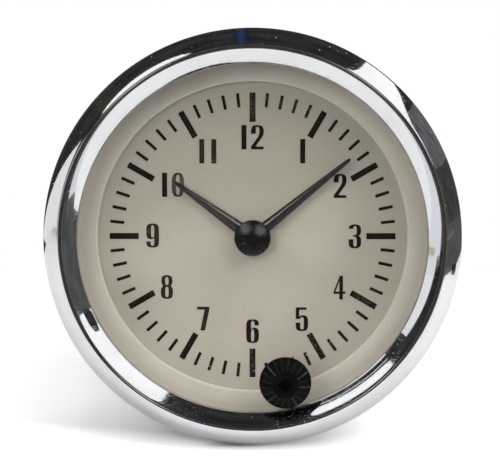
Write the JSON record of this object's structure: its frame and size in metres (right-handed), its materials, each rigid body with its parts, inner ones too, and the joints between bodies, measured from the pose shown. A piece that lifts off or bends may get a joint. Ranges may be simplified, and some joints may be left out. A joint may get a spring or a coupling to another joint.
{
  "type": "car clock",
  "caption": "Round dashboard quartz clock: bright bezel, flat glass with a setting knob, pale dial, black hands, and a can with studs and a clamp strap for a panel hole.",
  "frame": {"origin": "centre of the bezel's panel seat, on the clock's axis", "axes": "+Z towards 12 o'clock, -Y out of the dial, +Y along the can to the back"},
  "size_m": [0.06, 0.0584, 0.06],
  "materials": {
    "bezel_chrome": "polished chrome plate with light use marks",
    "glass": "clear flat glass with dust and faint scratches",
    "rubber": "black rubber seal",
    "cream_plastic": "satin cream moulding",
    "dial_paint": "matt warm beige paint with black print",
    "can_steel": "grey lacquered steel can",
    "white_plastic": "natural moulded plastic",
    "brass": "machined brass",
    "bright_steel": "turned bright steel",
    "black_plastic": "black moulded plastic",
    "green_plastic": "green coil bobbin",
    "copper_wire": "enamelled copper wire",
    "soft_iron": "plated soft iron",
    "board_laminate": "green lacquered laminate",
    "capacitor_body": "dipped capacitor",
    "zinc_steel": "zinc plated steel",
    "tinned_brass": "tinned brass blades",
    "bulb_glass": "clear lamp glass",
    "black_lacquer": "black lacquered hands",
    "black_gloss": "glossy black cap",
    "knob_plastic": "black moulded knob",
    "magnet": "sintered magnet"
  },
  "bodies": {
    "case": {"bezel": "bezel_chrome", "glass": "glass", "glass_seal": "rubber", "visor_ring": "cream_plastic", "dial": "dial_paint", "case_can": "can_steel", "movement_carrier": "white_plastic", "front_plate": "brass", "rear_plate": "brass", "plate_pillars": "brass", "plate_screws": "bright_steel", "motion_posts": "bright_steel", "setting_bush": "black_plastic", "coil_bobbin": "green_plastic", "coil_winding": "copper_wire", "coil_core": "soft_iron", "stator": "soft_iron", "circuit_board": "board_laminate", "board_spacers": "brass", "control_chip": "black_plastic", "quartz_crystal": "bright_steel", "board_capacitors": "capacitor_body", "case_posts": "brass", "case_screws": "zinc_steel", "terminal_insulator": "black_plastic", "spade_terminals": "tinned_brass", "lamp_holder": "black_plastic", "lamp_bulb": "bulb_glass", "mounting_studs": "zinc_steel", "return_spring": "bright_steel"},
    "minute_set": {"minute_arbor": "bright_steel", "minute_hand": "black_lacquer", "hub_cap": "black_gloss"},
    "hour_set": {"hour_wheel": "brass", "hour_hand": "black_lacquer"},
    "minute_wheel_set": {"minute_wheel": "brass"},
    "idler_set": {"setting_idler": "brass"},
    "stem_slide": {"stem_collar": "bright_steel"},
    "knob_set": {"setting_stem": "bright_steel", "setting_knob": "knob_plastic"},
    "centre_set": {"centre_wheel": "brass"},
    "third_set": {"third_wheel": "brass"},
    "seconds_set": {"fourth_wheel": "brass"},
    "intermediate_set": {"intermediate_wheel": "brass"},
    "rotor_set": {"rotor_pinion": "white_plastic", "rotor_magnet": "magnet"},
    "clamp_set": {"clamp_bracket": "zinc_steel", "clamp_washers": "zinc_steel", "thumb_nuts": "brass"}
  },
  "joints": [
    {"name": "minute_hand_turn", "type": "hinge", "parent": "case", "child": "minute_set", "pos_m": [0, 0, 0], "axis": [0, 1, 0], "continuous": true},
    {"name": "hour_hand_turn", "type": "hinge", "parent": "case", "child": "hour_set", "pos_m": [0, 0, 0], "axis": [0, 1, 0], "continuous": true},
    {"name": "minute_wheel_turn", "type": "hinge", "parent": "case", "child": "minute_wheel_set", "pos_m": [-0.00015, 0, -0.0075], "axis": [0, 1, 0], "continuous": true},
    {"name": "setting_idler_turn", "type": "hinge", "parent": "case", "child": "idler_set", "pos_m": [0.00294, 0, -0.01569], "axis": [0, 1, 0], "continuous": true},
    {"name": "knob_push", "type": "slide", "parent": "case", "child": "stem_slide", "axis": [0, 1, 0], "range_m": [0, 0.001], "stiffness_N_per_m": 400, "springref_m": -0.002, "deforming": ["return_spring"]},
    {"name": "knob_turn", "type": "hinge", "parent": "stem_slide", "child": "knob_set", "pos_m": [0.0047, 0, -0.02036], "axis": [0, 1, 0], "continuous": true},
    {"name": "seconds_wheel_turn", "type": "hinge", "parent": "case", "child": "seconds_set", "pos_m": [-0.00838, 0, 0.0067], "axis": [0, 1, 0], "continuous": true},
    {"name": "third_wheel_turn", "type": "hinge", "parent": "case", "child": "third_set", "pos_m": [-0.0072, 0, 0], "axis": [0, 1, 0], "continuous": true},
    {"name": "centre_wheel_turn", "type": "hinge", "parent": "case", "child": "centre_set", "pos_m": [0, 0, 0], "axis": [0, 1, 0], "continuous": true},
    {"name": "intermediate_wheel_turn", "type": "hinge", "parent": "case", "child": "intermediate_set", "pos_m": [-0.0018, 0, 0.00909], "axis": [0, 1, 0], "continuous": true},
    {"name": "rotor_turn", "type": "hinge", "parent": "case", "child": "rotor_set", "pos_m": [0.00292, 0, 0.00992], "axis": [0, 1, 0], "continuous": true},
    {"name": "clamp_slide", "type": "slide", "parent": "case", "child": "clamp_set", "axis": [0, 1, 0], "range_m": [-0.002, 0.01]}
  ],
  "couplings": [
    {"joint": "hour_hand_turn", "follows": "minute_hand_turn", "ratio": 0.083333},
    {"joint": "minute_wheel_turn", "follows": "minute_hand_turn", "ratio": -0.33333},
    {"joint": "setting_idler_turn", "follows": "minute_hand_turn", "ratio": 0.6},
    {"joint": "knob_turn", "follows": "minute_hand_turn", "ratio": -1},
    {"joint": "third_wheel_turn", "follows": "seconds_wheel_turn", "ratio": -0.13333},
    {"joint": "centre_wheel_turn", "follows": "seconds_wheel_turn", "ratio": 0.016667},
    {"joint": "intermediate_wheel_turn", "follows": "seconds_wheel_turn", "ratio": -6},
    {"joint": "rotor_turn", "follows": "seconds_wheel_turn", "ratio": 30}
  ]
}
